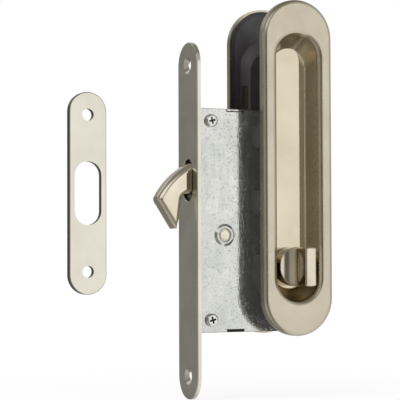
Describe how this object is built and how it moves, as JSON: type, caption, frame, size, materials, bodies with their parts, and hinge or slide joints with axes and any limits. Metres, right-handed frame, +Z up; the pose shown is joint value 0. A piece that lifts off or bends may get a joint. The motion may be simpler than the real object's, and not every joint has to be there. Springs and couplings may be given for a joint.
{
  "type": "pocket door pull",
  "caption": "Flush pocket door pull set: long cup pulls on both faces, a hook lock worked by a thumb turn, and a slotted strike plate.",
  "frame": {"origin": "centre of the lock faceplate's back face, where it bears on the door leaf's edge", "axes": "+X from the faceplate into the lock case, -Y towards the pull with the thumb turn, +Z up along the door's edge; the hook stands out along -X"},
  "size_m": [0.1267, 0.0542, 0.1895],
  "materials": {
    "pull_metal": "satin, warm grey-beige",
    "polished_nickel": "polished nickel",
    "galvanised": "mottled zinc coat",
    "faceplate_steel": "dark satin",
    "strike_steel": "satin",
    "zinc_bright": "bright zinc plate",
    "black_plastic": "satin moulded nylon",
    "turn_metal": "polished nickel",
    "bare_steel": "oiled",
    "spring_steel": "blued",
    "bronze": "sintered",
    "white_nylon": "matt"
  },
  "bodies": {
    "set": {"faceplate": "faceplate_steel", "lock_case": "galvanised", "case_cover": "galvanised", "case_screws": "zinc_bright", "case_posts": "bare_steel", "pivot_pin": "polished_nickel", "pivot_washers": "bare_steel", "follower_bearings": "white_nylon", "detent_spring": "spring_steel", "fixed_pins": "bare_steel", "front_pull": "pull_metal", "rear_pull": "pull_metal", "front_backing": "black_plastic", "rear_backing": "black_plastic", "pull_bolts": "zinc_bright", "pull_sleeves": "zinc_bright", "strike_plate": "strike_steel"},
    "turn": {"thumb_turn": "turn_metal", "emergency_release": "turn_metal", "turn_clips": "spring_steel", "spindle": "bare_steel", "follower": "bare_steel", "drive_pin": "bare_steel"},
    "hook": {"hook_bolt": "polished_nickel", "hook_bush": "bronze"}
  },
  "joints": [
    {"name": "thumb_turn", "type": "hinge", "parent": "set", "child": "turn", "pos_m": [0.04645, 0, -0.0221], "axis": [0, 1, 0], "range_deg": [-90, 0]},
    {"name": "hook_swing", "type": "hinge", "parent": "set", "child": "hook", "pos_m": [0.0143, 0, -0.007], "axis": [0, 1, 0], "range_deg": [0, 46]}
  ],
  "couplings": [
    {"joint": "hook_swing", "follows": "thumb_turn", "ratio": -0.51111}
  ]
}
